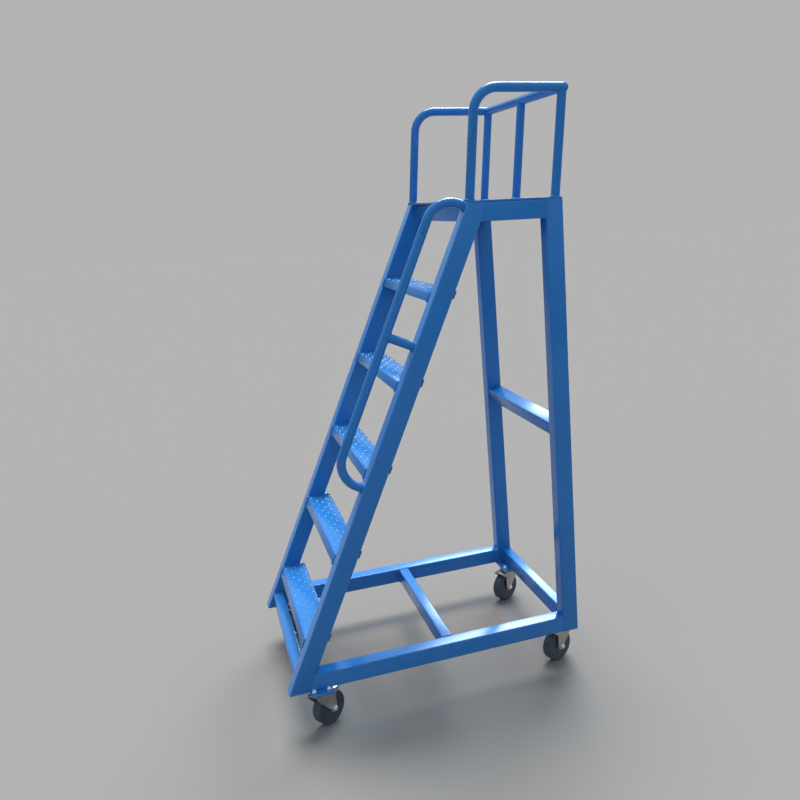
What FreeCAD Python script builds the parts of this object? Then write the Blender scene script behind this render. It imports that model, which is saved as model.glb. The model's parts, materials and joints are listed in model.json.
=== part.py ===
import FreeCAD, Part
import math
import os
from FreeCAD import Vector as V

# Rolling warehouse ladder, welded from square, flat and round steel tube, on four swivel casters.
# Millimetres. X is the width (+X is the climber's right), the foot of the stair is towards -Y, +Z is up.
# The origin is on the floor, under the middle of the ladder's outline.

# ---- overall sizes
WIDTH = 655.0            # over the outer faces of the two stringers
CASTER_HEIGHT = 128.0    # floor to the underside of the base frame
FIRST_RISE = 267.0       # floor to the top of the lowest tread
RISE = 232.0             # tread to tread, and top tread to platform
TREADS = 5
PLATFORM_DEPTH = 269.0   # front corner of the stringers to the rear face of the legs, at the top
LEAN = 25.3              # stringers, degrees from vertical

# ---- tube stock
TUBE = 50.0              # square tube of the main frame
WALL = 2.0
CORNER = 4.5             # outer corner radius of the square tube
FLAT = 33.0              # thickness of the flat cross bars, 50 mm the other way
MID_BAR = 40.0           # thickness of the bar across the rear legs
ROUND = 25.0             # guard rail and handrail tube, outside diameter
ROUND_WALL = 1.8
BEND = 70.0              # centre-line bend radius of the round tube

# ---- cross bars
MIDDLE_BAR_BACK = 375.0  # middle base bar, front face to the leg's front face
MID_BAR_TOP = 787.5      # height of the mid bar's upper front edge
MID_BAR_TILT = 10.0      # its rear edge sits higher, degrees
BEAM_SETBACK = 13.0      # platform's front beam, behind the stringers' top corner

# ---- platform and treads
PLATE = 5.0
PLATE_INSET = 1.0
SHEET = 3.0              # tread sheet
TREAD_DEPTH = 76.0
LIP = 23.0               # height of the down-turned edges
FOLD = 4.0               # outer radius of the folds

# ---- guard rail
GUARD_HEIGHT = 278.0     # platform to the rails' centre lines
GUARD_LEAN = 6.6         # all posts lean towards the rear, degrees
POST_OVERHANG = 0.5      # posts' feet reach this far past the frame's top corners
POST_JOINT = {"right": 154.0, "left": 175.0}   # platform to the weld between front post and bend
BEND_TAIL = {"right": 28.0, "left": 78.0}      # straight run of the bend piece beyond its curve

# ---- handrail, beside the right stringer
GRIP = 80.5              # tube centre line to the stringer's front face
HANDRAIL_OVERHANG = 2.5  # upper end's tube stands this far past the stringer's top corner
HANDRAIL_LENGTH = 801.0  # upper to lower end, along the stringer
HANDRAIL_TAIL = 44.0     # straight run on each bent end
STRUT_DOWN = 392.0       # upper end to the strut

# ---- casters
WHEEL = 100.0            # tyre diameter
TYRE_WIDTH = 30.0
TREAD_CROWN = 3.0        # rounding of the tyre's shoulders
HUB = 70.0               # wheel centre diameter
HUB_INSET = 3.0          # wheel centre's faces inside the tyre's
HUB_WIDTH = 34.0         # over the boss round the axle
BOSS_WALL = 7.0
TYRE_LIP = 6.0           # tyre's side walls reach in over the wheel centre
TRAIL = 22.0             # swivel axis to wheel axle
ARM = 3.0                # fork sheet
ARM_EYE = 13.0           # rounded end of the arm, radius about the axle
ARM_FRONT = 10.0         # depth of the arm's upper corner, on the side away from the axle
ARM_REAR = 5.0           # and on the axle's side, at the end of the crown's tail
ARM_NECK = 18.0          # crown's top down to where the tail has tapered into the arm
CROWN_MARGIN = 2.0       # fork's crown past the race
CROWN_TAIL = 20.0        # and further on the axle's side
SIDE_GAP = 1.5           # hub face to fork arm
PAD_X = 104.0            # welded mounting pad
PAD_Y = 64.0
PAD = 5.0
PAD_CORNER = 9.0         # corner radius of pad and top plate
TOP_X = 96.0             # caster's own top plate
TOP_Y = 58.0
TOP = 3.0
HOLES_X = 66.0           # bolt spacing
HOLES_Y = 41.0
BOLT = 8.0
BOLT_CLEARANCE = 0.25    # radial, bolt in its hole
HEX = 13.0
HEAD = 5.3
NUT = 6.5
BOLT_TAIL = 4.0          # thread showing past the nut
RACE = 30.0              # upper race, outer radius
RACE_TAPER = 4.0         # the race is this much narrower at the top plate
RACE_STEP = 2.0          # crown's disc, inside the upper race's edge
RACE_INSIDE = 3.0        # lower race to the upper race's inner edge
RACE_HEIGHT = 11.0       # top plate's underside to the fork's crown
KINGPIN = 6.0
KINGPIN_HEAD = 10.0
KINGPIN_HEAD_TAPER = 2.0
KINGPIN_HEAD_THICK = 2.4
AXLE = 5.0               # axle bolt radius
AXLE_HEX = 15.0
AXLE_TAIL = 3.0          # thread showing past the nut
RUNNING = 0.05           # radial clearance of every turning fit
GAP = 0.4                # between bodies that move apart
FRONT_CASTER = 32.7      # swivel axes of the front pair, behind the stringers' feet
REAR_CASTER = 57.5       # swivel axes of the rear pair, inboard of the legs' middles
REAR_CASTER_Y = 26.0     # in front of the legs' rear face
SWIVEL = {"front_left": 35.0, "front_right": 38.0, "rear_left": -150.0, "rear_right": -155.0}
NUT_TURNED = ("front_left", "front_right")     # casters whose axle bolt is put in from the other side

# ---- worked out from the above
SLOPE = math.tan(math.radians(LEAN))
HALF = WIDTH / 2
INNER = HALF - TUBE
RAIL_X = HALF - TUBE / 2
BASE = CASTER_HEIGHT
BASE_TOP = BASE + TUBE
PLATFORM_TOP = FIRST_RISE + TREADS * RISE
FRAME_TOP = PLATFORM_TOP - PLATE
RAIL_BOTTOM = FRAME_TOP - TUBE
R = ROUND / 2
POST_SET = R - POST_OVERHANG
GUARD_SLOPE = math.tan(math.radians(GUARD_LEAN))
FOOT_RUN = (FRAME_TOP - BASE) * SLOPE
REAR_POST_RUN = GUARD_HEIGHT * GUARD_SLOPE
DEPTH = FOOT_RUN + PLATFORM_DEPTH - POST_SET + REAR_POST_RUN + R
LEG_REAR = DEPTH / 2 + POST_SET - REAR_POST_RUN - R
LEG_FRONT = LEG_REAR - TUBE
TOP_FRONT = LEG_REAR - PLATFORM_DEPTH
FOOT_FRONT = TOP_FRONT - FOOT_RUN
RUN = TUBE / math.cos(math.radians(LEAN))

os.makedirs("parts", exist_ok=True)


def front_y(z):
    return FOOT_FRONT + (z - BASE) * SLOPE


def box(x0, x1, y0, y1, z0, z1):
    return Part.makeBox(x1 - x0, y1 - y0, z1 - z0, V(x0, y0, z0))


def rounded_rect(w, h, r):
    """Wire in the XY plane, centred on the origin."""
    a = w / 2
    b = h / 2
    k = r * (1 - math.sqrt(0.5))
    pts = [(a - r, -b), (a - k, -b + k), (a, -b + r), (a, b - r), (a - k, b - k), (a - r, b),
           (-a + r, b), (-a + k, b - k), (-a, b - r), (-a, -b + r), (-a + k, -b + k), (-a + r, -b)]
    p = [V(x, y, 0) for x, y in pts]
    edges = []
    for i in range(0, 12, 3):
        edges.append(Part.Arc(p[i], p[i + 1], p[i + 2]).toShape())
        edges.append(Part.makeLine(p[i + 2], p[(i + 3) % 12]))
    return Part.Wire(edges)


def square_tube(w, h, length):
    """Hollow tube along +Z from the origin, w in X and h in Y."""
    outer = Part.Face(rounded_rect(w, h, CORNER)).extrude(V(0, 0, length))
    inner = Part.Face(rounded_rect(w - 2 * WALL, h - 2 * WALL, CORNER - WALL)).extrude(V(0, 0, length))
    return outer.cut(inner)


def cross_tube(x0, x1, y0, depth, z0, height):
    """Tube lying along X."""
    t = square_tube(height, depth, x1 - x0)
    t.rotate(V(0, 0, 0), V(0, 1, 0), 90)
    t.translate(V(x0, y0 + depth / 2, z0 + height / 2))
    return t


def long_tube(x, y0, y1, z0):
    """Square tube lying along Y."""
    t = square_tube(TUBE, TUBE, y1 - y0)
    t.rotate(V(0, 0, 0), V(1, 0, 0), -90)
    t.translate(V(x, y0, z0 + TUBE / 2))
    return t


def pipe(path, r_out, r_in):
    """Round tube along a wire; r_in 0 gives a solid bar."""
    start = path.Edges[0].valueAt(path.Edges[0].FirstParameter)
    way = path.Edges[0].tangentAt(path.Edges[0].FirstParameter)
    outer = Part.Wire(Part.makeCircle(r_out, start, way))
    solid = path.makePipeShell([outer], True, False)
    if r_in > 0:
        inner = Part.Wire(Part.makeCircle(r_in, start, way))
        solid = solid.cut(path.makePipeShell([inner], True, False))
    return solid


def rod(a, b, r):
    return Part.makeCylinder(r, (b - a).Length, a, b - a)


def straight_tube(a, b):
    return rod(a, b, R).cut(rod(a, b, R - ROUND_WALL))


def mirror_x(shape):
    return shape.mirror(V(0, 0, 0), V(1, 0, 0))


def save(name, shape):
    solids = shape.Solids
    out = solids[0] if len(solids) == 1 else Part.makeCompound(solids)
    out.exportStep("parts/%s.step" % name)


# ---- stringers: square tube on the slope, cut level at the foot and under the platform
stringer = square_tube(TUBE, TUBE, (FRAME_TOP - BASE) / math.cos(math.radians(LEAN)) + 2 * TUBE)
stringer.translate(V(0, TUBE / 2, -TUBE))
stringer.rotate(V(0, 0, 0), V(1, 0, 0), -LEAN)
stringer.translate(V(RAIL_X, FOOT_FRONT, BASE))
level = box(-WIDTH, WIDTH, -DEPTH, DEPTH, BASE, FRAME_TOP)
stringer = stringer.common(level)
save("stringer_right", stringer)
save("stringer_left", mirror_x(stringer))

# everything in front of the stringers' rear faces, used to cut the rails that butt against them
low = BASE - TUBE
high = FRAME_TOP + TUBE
front_wedge = Part.Face(Part.makePolygon([
    V(-WIDTH, front_y(low) + RUN, low), V(-WIDTH, front_y(high) + RUN, high),
    V(-WIDTH, FOOT_FRONT - DEPTH, high), V(-WIDTH, FOOT_FRONT - DEPTH, low),
    V(-WIDTH, front_y(low) + RUN, low)])).extrude(V(2 * WIDTH, 0, 0))

# ---- rear legs, base rails and top rails
leg = square_tube(TUBE, TUBE, FRAME_TOP - BASE)
leg.translate(V(RAIL_X, LEG_FRONT + TUBE / 2, BASE))
save("rear_leg_right", leg)
save("rear_leg_left", mirror_x(leg))
for name, z in (("base_side_rail", BASE), ("top_side_rail", RAIL_BOTTOM)):
    rail = long_tube(RAIL_X, front_y(z), LEG_FRONT, z).cut(front_wedge)
    save(name + "_right", rail)
    save(name + "_left", mirror_x(rail))

# ---- cross bars
FRONT_BAR_Y = front_y(BASE_TOP)
save("base_front_bar", cross_tube(-INNER, INNER, FRONT_BAR_Y, FLAT, BASE, TUBE))
save("base_middle_bar", cross_tube(-INNER, INNER, LEG_FRONT - MIDDLE_BAR_BACK, FLAT, BASE, TUBE))
save("base_rear_bar", cross_tube(-INNER, INNER, LEG_REAR - FLAT, FLAT, BASE, TUBE))
BEAM_Y = TOP_FRONT + BEAM_SETBACK
save("platform_front_beam", cross_tube(-INNER, INNER, BEAM_Y, FLAT, RAIL_BOTTOM, TUBE))
save("platform_rear_beam", cross_tube(-INNER, INNER, LEG_REAR - FLAT, FLAT, RAIL_BOTTOM, TUBE))
mid_bar = cross_tube(-INNER, INNER, LEG_FRONT, TUBE, MID_BAR_TOP - MID_BAR, MID_BAR)
mid_bar.rotate(V(0, LEG_FRONT, MID_BAR_TOP), V(1, 0, 0), MID_BAR_TILT)
save("rear_mid_bar", mid_bar)

# ---- platform sheet
plate = box(-HALF + PLATE_INSET, HALF - PLATE_INSET, TOP_FRONT + PLATE_INSET, LEG_REAR - PLATE_INSET,
            FRAME_TOP, PLATFORM_TOP)
plate = plate.makeFillet(PLATE_INSET, [e for e in plate.Edges if abs(e.BoundBox.ZMin - PLATFORM_TOP) < 1e-6])
save("platform_plate", plate)


# ---- treads: sheet with both long edges turned down, parallel to the stringers
def tread_outline(inset):
    """Corners of the folded sheet's outer or inner skin, from the front lip to the rear lip."""
    slant = inset / math.cos(math.radians(LEAN))
    front = slant - inset * SLOPE
    rear = TREAD_DEPTH - slant - inset * SLOPE
    return [V(0, slant - LIP * SLOPE, -LIP), V(0, front, -inset), V(0, rear, -inset),
            V(0, TREAD_DEPTH - slant - LIP * SLOPE, -LIP)]


def rounded_line(points, radius):
    """Edges of an open polyline whose inner corners are arcs."""
    edges = []
    start = points[0]
    for before, at, after in zip(points, points[1:], points[2:]):
        a = (before - at).normalize()
        b = (after - at).normalize()
        half_angle = a.getAngle(b) / 2
        reach_out = radius / math.tan(half_angle)
        middle = at + (a + b).normalize() * (radius / math.sin(half_angle) - radius)
        edges.append(Part.makeLine(start, at + a * reach_out))
        edges.append(Part.Arc(at + a * reach_out, middle, at + b * reach_out).toShape())
        start = at + b * reach_out
    return edges + [Part.makeLine(start, points[-1])]


skin = tread_outline(0.0)
inside = tread_outline(SHEET)
section = rounded_line(skin, FOLD) + rounded_line(inside, FOLD - SHEET)
section += [Part.makeLine(skin[0], inside[0]), Part.makeLine(skin[-1], inside[-1])]
tread = Part.Face(Part.Wire(Part.__sortEdges__(section))).extrude(V(2 * INNER, 0, 0))
tread.translate(V(-INNER, 0, 0))
TREAD_TOPS = [FIRST_RISE + i * RISE for i in range(TREADS)]
for i, z in enumerate(TREAD_TOPS):
    t = tread.copy()
    t.translate(V(0, front_y(z), z))
    save("tread_%d" % (i + 1), t)

# ---- guard rail
bore = R - ROUND_WALL
lean_way = V(0, math.sin(math.radians(GUARD_LEAN)), math.cos(math.radians(GUARD_LEAN)))
rail_way = V(0, 1, 0)
post_foot = V(RAIL_X, TOP_FRONT + POST_SET, PLATFORM_TOP)
rear_foot_y = LEG_REAR - POST_SET
corner = post_foot + lean_way * (GUARD_HEIGHT / lean_way.z)
rear_corner = V(RAIL_X, rear_foot_y + REAR_POST_RUN, corner.z)
turn = math.radians(90 - GUARD_LEAN)
tangent = BEND * math.tan(turn / 2)
bend_in = corner - lean_way * tangent
bend_out = corner + rail_way * tangent
bisector = (rail_way - lean_way).normalize()
bend_mid = corner + bisector * (BEND / math.cos(turn / 2) - BEND)

# the rear rail and the side rails are cut at 45 degrees where they meet
wide = RAIL_X + ROUND
narrow = RAIL_X - ROUND
mitre = Part.Face(Part.makePolygon([
    V(-wide, rear_corner.y + ROUND, corner.z - ROUND),
    V(wide, rear_corner.y + ROUND, corner.z - ROUND),
    V(narrow, rear_corner.y - ROUND, corner.z - ROUND),
    V(-narrow, rear_corner.y - ROUND, corner.z - ROUND),
    V(-wide, rear_corner.y + ROUND, corner.z - ROUND)])).extrude(V(0, 0, 2 * ROUND))
rear_ends = (V(-wide, rear_corner.y, corner.z), V(wide, rear_corner.y, corner.z))
rear_bar = rod(rear_ends[0], rear_ends[1], R).common(mitre)
side_bar = rod(bend_out, rear_corner + rail_way * ROUND, R).cut(mitre)
bars = [rear_bar, side_bar, mirror_x(side_bar)]
save("guard_rear_rail", rear_bar.cut(rod(rear_ends[0], rear_ends[1], bore)))

above_plate = box(-WIDTH, WIDTH, -DEPTH, DEPTH, PLATFORM_TOP, PLATFORM_TOP + 2 * GUARD_HEIGHT)
for side in ("right", "left"):
    post_top = post_foot + lean_way * (POST_JOINT[side] / lean_way.z)
    rail_start = bend_out + rail_way * BEND_TAIL[side]
    bend_path = Part.Wire([
        Part.makeLine(post_top, bend_in),
        Part.Arc(bend_in, bend_mid, bend_out).toShape(),
        Part.makeLine(bend_out, rail_start)])
    pieces = {
        "guard_front_post_": straight_tube(post_foot - lean_way * R, post_top).common(above_plate),
        "guard_bend_": pipe(bend_path, R, bore),
        "guard_side_rail_": straight_tube(rail_start, rear_corner + rail_way * ROUND).cut(mitre)}
    for name, shape in pieces.items():
        save(name + side, shape if side == "right" else mirror_x(shape))

for x, name in ((-RAIL_X, "left"), (0.0, "middle"), (RAIL_X, "right")):
    foot = V(x, rear_foot_y, PLATFORM_TOP)
    head = foot + lean_way * (GUARD_HEIGHT / lean_way.z)
    post = straight_tube(foot - lean_way * R, head).common(above_plate).cut(bars)
    save("guard_rear_post_" + name, max(post.Solids, key=lambda s: s.Volume))


# ---- handrail, drawn in the right stringer's own plane
def on_stringer(along, out):
    """Point a distance up the stringer's front face and a distance out from it."""
    a = math.radians(LEAN)
    y = FOOT_FRONT + along * math.sin(a) - out * math.cos(a)
    z = BASE + along * math.cos(a) + out * math.sin(a)
    return V(RAIL_X, y, z)


hand_top = (FRAME_TOP - BASE) / math.cos(math.radians(LEAN)) + HANDRAIL_OVERHANG - R
hand_low = hand_top - HANDRAIL_LENGTH
mid_arc = BEND * math.sqrt(0.5)
for name, end, sign in (("handrail_upper_bend", hand_top, -1.0), ("handrail_lower_bend", hand_low, 1.0)):
    straight = on_stringer(end + sign * BEND, GRIP)
    path = Part.Wire([
        Part.makeLine(on_stringer(end, 0), on_stringer(end, GRIP - BEND)),
        Part.Arc(on_stringer(end, GRIP - BEND),
                 on_stringer(end + sign * (BEND - mid_arc), GRIP - BEND + mid_arc),
                 straight).toShape(),
        Part.makeLine(straight, on_stringer(end + sign * (BEND + HANDRAIL_TAIL), GRIP))])
    save(name, pipe(path, R, bore))
grab_a = on_stringer(hand_low + BEND + HANDRAIL_TAIL, GRIP)
grab_b = on_stringer(hand_top - BEND - HANDRAIL_TAIL, GRIP)
save("handrail_grab_tube", straight_tube(grab_a, grab_b))
strut = straight_tube(on_stringer(hand_top - STRUT_DOWN, 0), on_stringer(hand_top - STRUT_DOWN, GRIP))
save("handrail_strut", strut.cut(rod(grab_a, grab_b, R)))

# ---- casters
REAR_CASTER_X = RAIL_X - REAR_CASTER
PAD_BOTTOM = BASE - PAD
TOP_BOTTOM = PAD_BOTTOM - TOP
CROWN_TOP = TOP_BOTTOM - RACE_HEIGHT
CROWN_BOTTOM = CROWN_TOP - ARM
ARM_IN = HUB_WIDTH / 2 + SIDE_GAP
ARM_OUT = ARM_IN + ARM
AXLE_Z = WHEEL / 2
HOLE = BOLT / 2 + BOLT_CLEARANCE
swivels = {
    "front_left": V(-RAIL_X, FOOT_FRONT + RUN + FRONT_CASTER, 0),
    "front_right": V(RAIL_X, FOOT_FRONT + RUN + FRONT_CASTER, 0),
    "rear_left": V(-REAR_CASTER_X, LEG_REAR - REAR_CASTER_Y, 0),
    "rear_right": V(REAR_CASTER_X, LEG_REAR - REAR_CASTER_Y, 0),
}


def hexagon(across, height, z):
    r = across / math.sqrt(3)
    pts = [V(r * math.cos(math.radians(60 * i)), r * math.sin(math.radians(60 * i)), z) for i in range(7)]
    return Part.Face(Part.makePolygon(pts)).extrude(V(0, 0, height))


def plate_with_holes(w, d, t, z):
    p = Part.Face(rounded_rect(w, d, PAD_CORNER)).extrude(V(0, 0, t))
    p.translate(V(0, 0, z))
    for sx in (-1, 1):
        for sy in (-1, 1):
            p = p.cut(Part.makeCylinder(HOLE, t, V(sx * HOLES_X / 2, sy * HOLES_Y / 2, z)))
    return p


# mounting pad, welded under the frame
pad = plate_with_holes(PAD_X, PAD_Y, PAD, PAD_BOTTOM)

# top plate with its upper race, a shallow drum with a turned-in edge, and the hole for the kingpin
top_plate = plate_with_holes(TOP_X, TOP_Y, TOP, TOP_BOTTOM)
drum_low = CROWN_TOP + GAP + ARM
race_top = RACE - RACE_TAPER
drum = Part.makeCone(RACE, race_top, TOP_BOTTOM - drum_low, V(0, 0, drum_low))
drum = drum.cut(Part.makeCone(RACE - ARM, race_top - ARM, TOP_BOTTOM - drum_low, V(0, 0, drum_low)))
top_plate = top_plate.fuse(drum).cut(Part.makeCylinder(KINGPIN, TOP, V(0, 0, TOP_BOTTOM))).removeSplitter()

# kingpin, fixed in the top plate, its head under the fork's crown
head_top = CROWN_BOTTOM - GAP
kingpin = Part.makeCylinder(KINGPIN, PAD_BOTTOM - head_top, V(0, 0, head_top))
kingpin = kingpin.fuse(Part.makeCone(KINGPIN_HEAD - KINGPIN_HEAD_TAPER, KINGPIN_HEAD, KINGPIN_HEAD_THICK,
                                     V(0, 0, head_top - KINGPIN_HEAD_THICK))).removeSplitter()

# ring that stands for the bearing balls, held up inside the race
ball = (TOP_BOTTOM - CROWN_TOP - ARM - GAP) / 2
ball_ring = Part.makeTorus(race_top - ARM - ball, ball, V(0, 0, TOP_BOTTOM - ball))

# bolts: the ones beside the tubes carry nuts, the ones under a tube are screwed into the pad
long_bolt = hexagon(HEX, HEAD, TOP_BOTTOM - HEAD)
long_bolt = long_bolt.fuse(Part.makeCylinder(BOLT / 2, TOP + PAD + NUT + BOLT_TAIL, V(0, 0, TOP_BOTTOM)))
short_bolt = hexagon(HEX, HEAD, TOP_BOTTOM - HEAD)
short_bolt = short_bolt.fuse(Part.makeCylinder(BOLT / 2, TOP + PAD, V(0, 0, TOP_BOTTOM)))
nut = hexagon(HEX, NUT, BASE).cut(Part.makeCylinder(BOLT / 2, NUT, V(0, 0, BASE)))

# fork: a crown with its lower race, and two arms that taper to the axle
reach = RACE + CROWN_MARGIN
tail = reach + CROWN_TAIL
arm_face = Part.makePolygon([
    V(-reach, 0, CROWN_TOP), V(tail, 0, CROWN_TOP), V(tail, 0, CROWN_TOP - ARM_REAR),
    V(TRAIL + ARM_EYE, 0, CROWN_TOP - ARM_NECK), V(TRAIL + ARM_EYE, 0, AXLE_Z), V(TRAIL - ARM_EYE, 0, AXLE_Z),
    V(-reach, 0, CROWN_TOP - ARM_FRONT), V(-reach, 0, CROWN_TOP)])
arm_blank = Part.Face(arm_face).extrude(V(0, ARM, 0))
arm_blank = arm_blank.fuse(Part.makeCylinder(ARM_EYE, ARM, V(TRAIL, 0, AXLE_Z), V(0, 1, 0)))
arms = []
for y in (ARM_IN, -ARM_OUT):
    arms.append(arm_blank.copy())
    arms[-1].translate(V(0, y, 0))
crown = box(-reach, tail, -ARM_OUT, ARM_OUT, CROWN_BOTTOM, CROWN_TOP)
crown_disc = Part.makeCylinder(RACE - RACE_STEP, ARM, V(0, 0, CROWN_BOTTOM))
lower_race = Part.makeCylinder(RACE - ARM - RACE_INSIDE, ARM, V(0, 0, CROWN_TOP))
fork = crown.fuse(arms + [crown_disc, lower_race]).removeSplitter()
fork = fork.cut(Part.makeCylinder(KINGPIN + RUNNING, 4 * ARM, V(0, 0, CROWN_BOTTOM - ARM)))
fork = fork.cut(Part.makeCylinder(AXLE, 4 * ARM_OUT, V(TRAIL, -2 * ARM_OUT, AXLE_Z), V(0, 1, 0)))

# axle bolt with its nut, through both arms
way = V(0, 1, 0)
centre = V(TRAIL, 0, AXLE_Z)
axle = Part.makeCylinder(AXLE, 2 * ARM_OUT + NUT + AXLE_TAIL, centre - way * ARM_OUT, way)
axle_head = hexagon(AXLE_HEX, HEAD, 0)
axle_head.rotate(V(0, 0, 0), V(1, 0, 0), 90)
axle_head.translate(centre - way * ARM_OUT)
axle_nut = hexagon(AXLE_HEX, NUT, 0).cut(Part.makeCylinder(AXLE, NUT))
axle_nut.rotate(V(0, 0, 0), V(1, 0, 0), -90)
axle_nut.translate(centre + way * ARM_OUT)
axle = axle.fuse(axle_head).removeSplitter()

# wheel: moulded centre and a rubber tyre on it
hub_face = TYRE_WIDTH / 2 - HUB_INSET
hub_blank = Part.makeCylinder(HUB / 2, 2 * hub_face, centre - way * hub_face, way)
hub = hub_blank.fuse(Part.makeCylinder(AXLE + BOSS_WALL, HUB_WIDTH, centre - way * (HUB_WIDTH / 2), way))
hub = hub.removeSplitter()
hub = hub.cut(Part.makeCylinder(AXLE + RUNNING, 2 * HUB_WIDTH, centre - way * HUB_WIDTH, way))
tyre = Part.makeCylinder(WHEEL / 2, TYRE_WIDTH, centre - way * (TYRE_WIDTH / 2), way)
tyre = tyre.makeFillet(TREAD_CROWN, [e for e in tyre.Edges if e.Length > WHEEL])
tyre = tyre.cut(hub_blank)
tyre = tyre.cut(Part.makeCylinder(HUB / 2 - TYRE_LIP, 2 * TYRE_WIDTH, centre - way * TYRE_WIDTH, way))

fixed = {"caster_mounting_pads": [], "caster_top_plates": [], "caster_kingpins": [], "caster_ball_rings": [],
         "caster_plate_bolts": [], "caster_plate_nuts": []}


def placed(shape, where):
    s = shape.copy()
    s.translate(where)
    return s


def under_tube(at):
    """True where a nut on the pad would run into a frame tube."""
    edge = HEX / math.sqrt(3)
    under_rail = abs(at.x) + edge > INNER and abs(at.x) - edge < HALF
    under_bar = at.y + edge > LEG_REAR - FLAT or at.y - edge < FRONT_BAR_Y + FLAT
    return under_rail or (under_bar and abs(at.x) < INNER)


for name, where in swivels.items():
    fixed["caster_mounting_pads"].append(placed(pad, where))
    fixed["caster_top_plates"].append(placed(top_plate, where))
    fixed["caster_kingpins"].append(placed(kingpin, where))
    fixed["caster_ball_rings"].append(placed(ball_ring, where))
    for sx in (-1, 1):
        for sy in (-1, 1):
            at = where + V(sx * HOLES_X / 2, sy * HOLES_Y / 2, 0)
            fixed["caster_plate_bolts"].append(placed(short_bolt if under_tube(at) else long_bolt, at))
            if not under_tube(at):
                fixed["caster_plate_nuts"].append(placed(nut, at))
    bolt_and_nut = Part.makeCompound([axle, axle_nut])
    if name in NUT_TURNED:
        bolt_and_nut.rotate(centre, V(0, 0, 1), 180)
    for piece, shape in (("fork", fork), ("axle_bolt", bolt_and_nut), ("wheel_centre", hub), ("tyre", tyre)):
        s = shape.copy()
        s.rotate(V(0, 0, 0), V(0, 0, 1), SWIVEL[name] + 90)
        s.translate(where)
        save("%s_%s" % (piece, name), s)
for name, shapes in fixed.items():
    save(name, Part.makeCompound(shapes))
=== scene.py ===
import json
import math
import random
import bpy
from mathutils import Matrix, Vector


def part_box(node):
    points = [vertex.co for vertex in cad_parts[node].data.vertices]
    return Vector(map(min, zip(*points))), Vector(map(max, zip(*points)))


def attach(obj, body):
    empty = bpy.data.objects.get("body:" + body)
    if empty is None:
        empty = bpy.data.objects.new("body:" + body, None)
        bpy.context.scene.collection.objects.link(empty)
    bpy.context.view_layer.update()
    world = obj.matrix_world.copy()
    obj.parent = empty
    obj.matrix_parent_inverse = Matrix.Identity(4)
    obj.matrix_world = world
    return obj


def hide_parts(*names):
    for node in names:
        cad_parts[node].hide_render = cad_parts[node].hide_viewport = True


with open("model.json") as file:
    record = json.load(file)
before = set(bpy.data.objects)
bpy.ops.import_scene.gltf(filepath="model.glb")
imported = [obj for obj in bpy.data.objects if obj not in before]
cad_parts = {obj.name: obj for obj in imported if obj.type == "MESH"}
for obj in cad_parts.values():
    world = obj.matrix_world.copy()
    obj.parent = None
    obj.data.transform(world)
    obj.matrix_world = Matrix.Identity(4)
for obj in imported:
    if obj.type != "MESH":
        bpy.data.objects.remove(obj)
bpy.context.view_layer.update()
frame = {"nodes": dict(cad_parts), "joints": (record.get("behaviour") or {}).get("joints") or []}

random.seed(7)
FRAME_BODY = "ladder_frame"
CORNERS = ("front_left", "front_right", "rear_left", "rear_right")

# sizes that only the finish uses, in metres: broken edges
PLATFORM_EDGE = 0.0007
TUBE_EDGE = 0.0004
TREAD_EDGE = 0.0006
PAD_EDGE = 0.0008
TOP_PLATE_EDGE = 0.0006
KINGPIN_EDGE = 0.0004
FASTENER_EDGE = 0.0005
FORK_EDGE = 0.0009
WHEEL_CENTRE_EDGE = 0.0008
# weld beads
BEAD = 0.0034               # half width
BEAD_STEP = 0.0030          # one ripple to the next
BEAD_FLATTENING = 0.85      # of each drop, along the run
DROP_SIDES, DROP_RINGS = 10, 6
RING_SIDES = 8              # round the section of a bead ring
RING_SWELL = 0.16           # how much thicker a ring is at a drop's middle
RING_UNEVENNESS = 0.05
FOOT_RING = 0.8             # thickness of rings, in beads: round a tube's foot
JOINT_RING = 0.65           # butt joint of two tubes
SADDLE_RING = 0.55          # tube against tube, and mitre
SADDLE_STRETCH = math.sqrt(2)   # a 45 degree mitre's seam is this much longer than wide
JOINT_SUNK = 0.0017         # bead's middle line, inside the tube's surface
MITRE_SUNK = 0.0012
POST_SPREAD = 0.0003        # and outside it at a foot
STRINGER_SPREAD = 0.0005
RING_LIFT = 0.0008          # off the surface that a foot stands on
END_SUNK = 0.0025           # handrail's upper ring, from the tube's edge
TREAD_BEAD_OUT = 0.0008
TREAD_BEAD_DOWN = 0.0002
TREAD_BEAD_SHORT = 0.003    # stops before the rear fold
BAR_BEAD_OUT = 0.0006
BAR_BEAD_SUNK = 0.001
RAIL_BEAD_SUNK = 0.0024
# raised grip buttons on the treads
BUTTON = 0.0050             # radius
BUTTON_CROWN = 0.0014       # flat top, radius
BUTTON_RISE = 0.0016
BUTTON_ROOT = 0.0004        # sunk into the sheet
BUTTON_EDGE = 0.0004
BUTTON_SIDES = 12
BUTTON_ROWS = 5
BUTTON_PITCH = 0.0570       # along a row
BUTTON_INSET = 0.018        # first button, from the tread's end
BUTTON_END_ROOM = 0.03      # length of a row that stays free
ROW_MARGIN = 0.009          # outer rows, from the tread's edges
# tyre
TYRE_WIDTH = 0.0300
TYRE_SIDES = 96
TYRE_SHRINK = 0.0001        # keeps the tread just off the floor
TYRE_GROOVE = 0.0012        # depth of the mould ring on the sides
TYRE_BEVELS = ((0.0026, 4, 70), (0.0003, 2, 38))    # width, segments, on edges sharper than, degrees
TYRE_SIDE_STEPS = (         # inwards on the side face, and out along its normal
    (0.0075, 0.0), (0.0010, -TYRE_GROOVE), (0.0012, 0.0), (0.0010, TYRE_GROOVE), (0.0090, -0.0012),
    (0.0018, -0.0022))
ROUND_TUBE_SIDES = 48
PLATE_INSET = 0.001         # platform's front edge, behind the stringers' top corners
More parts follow.
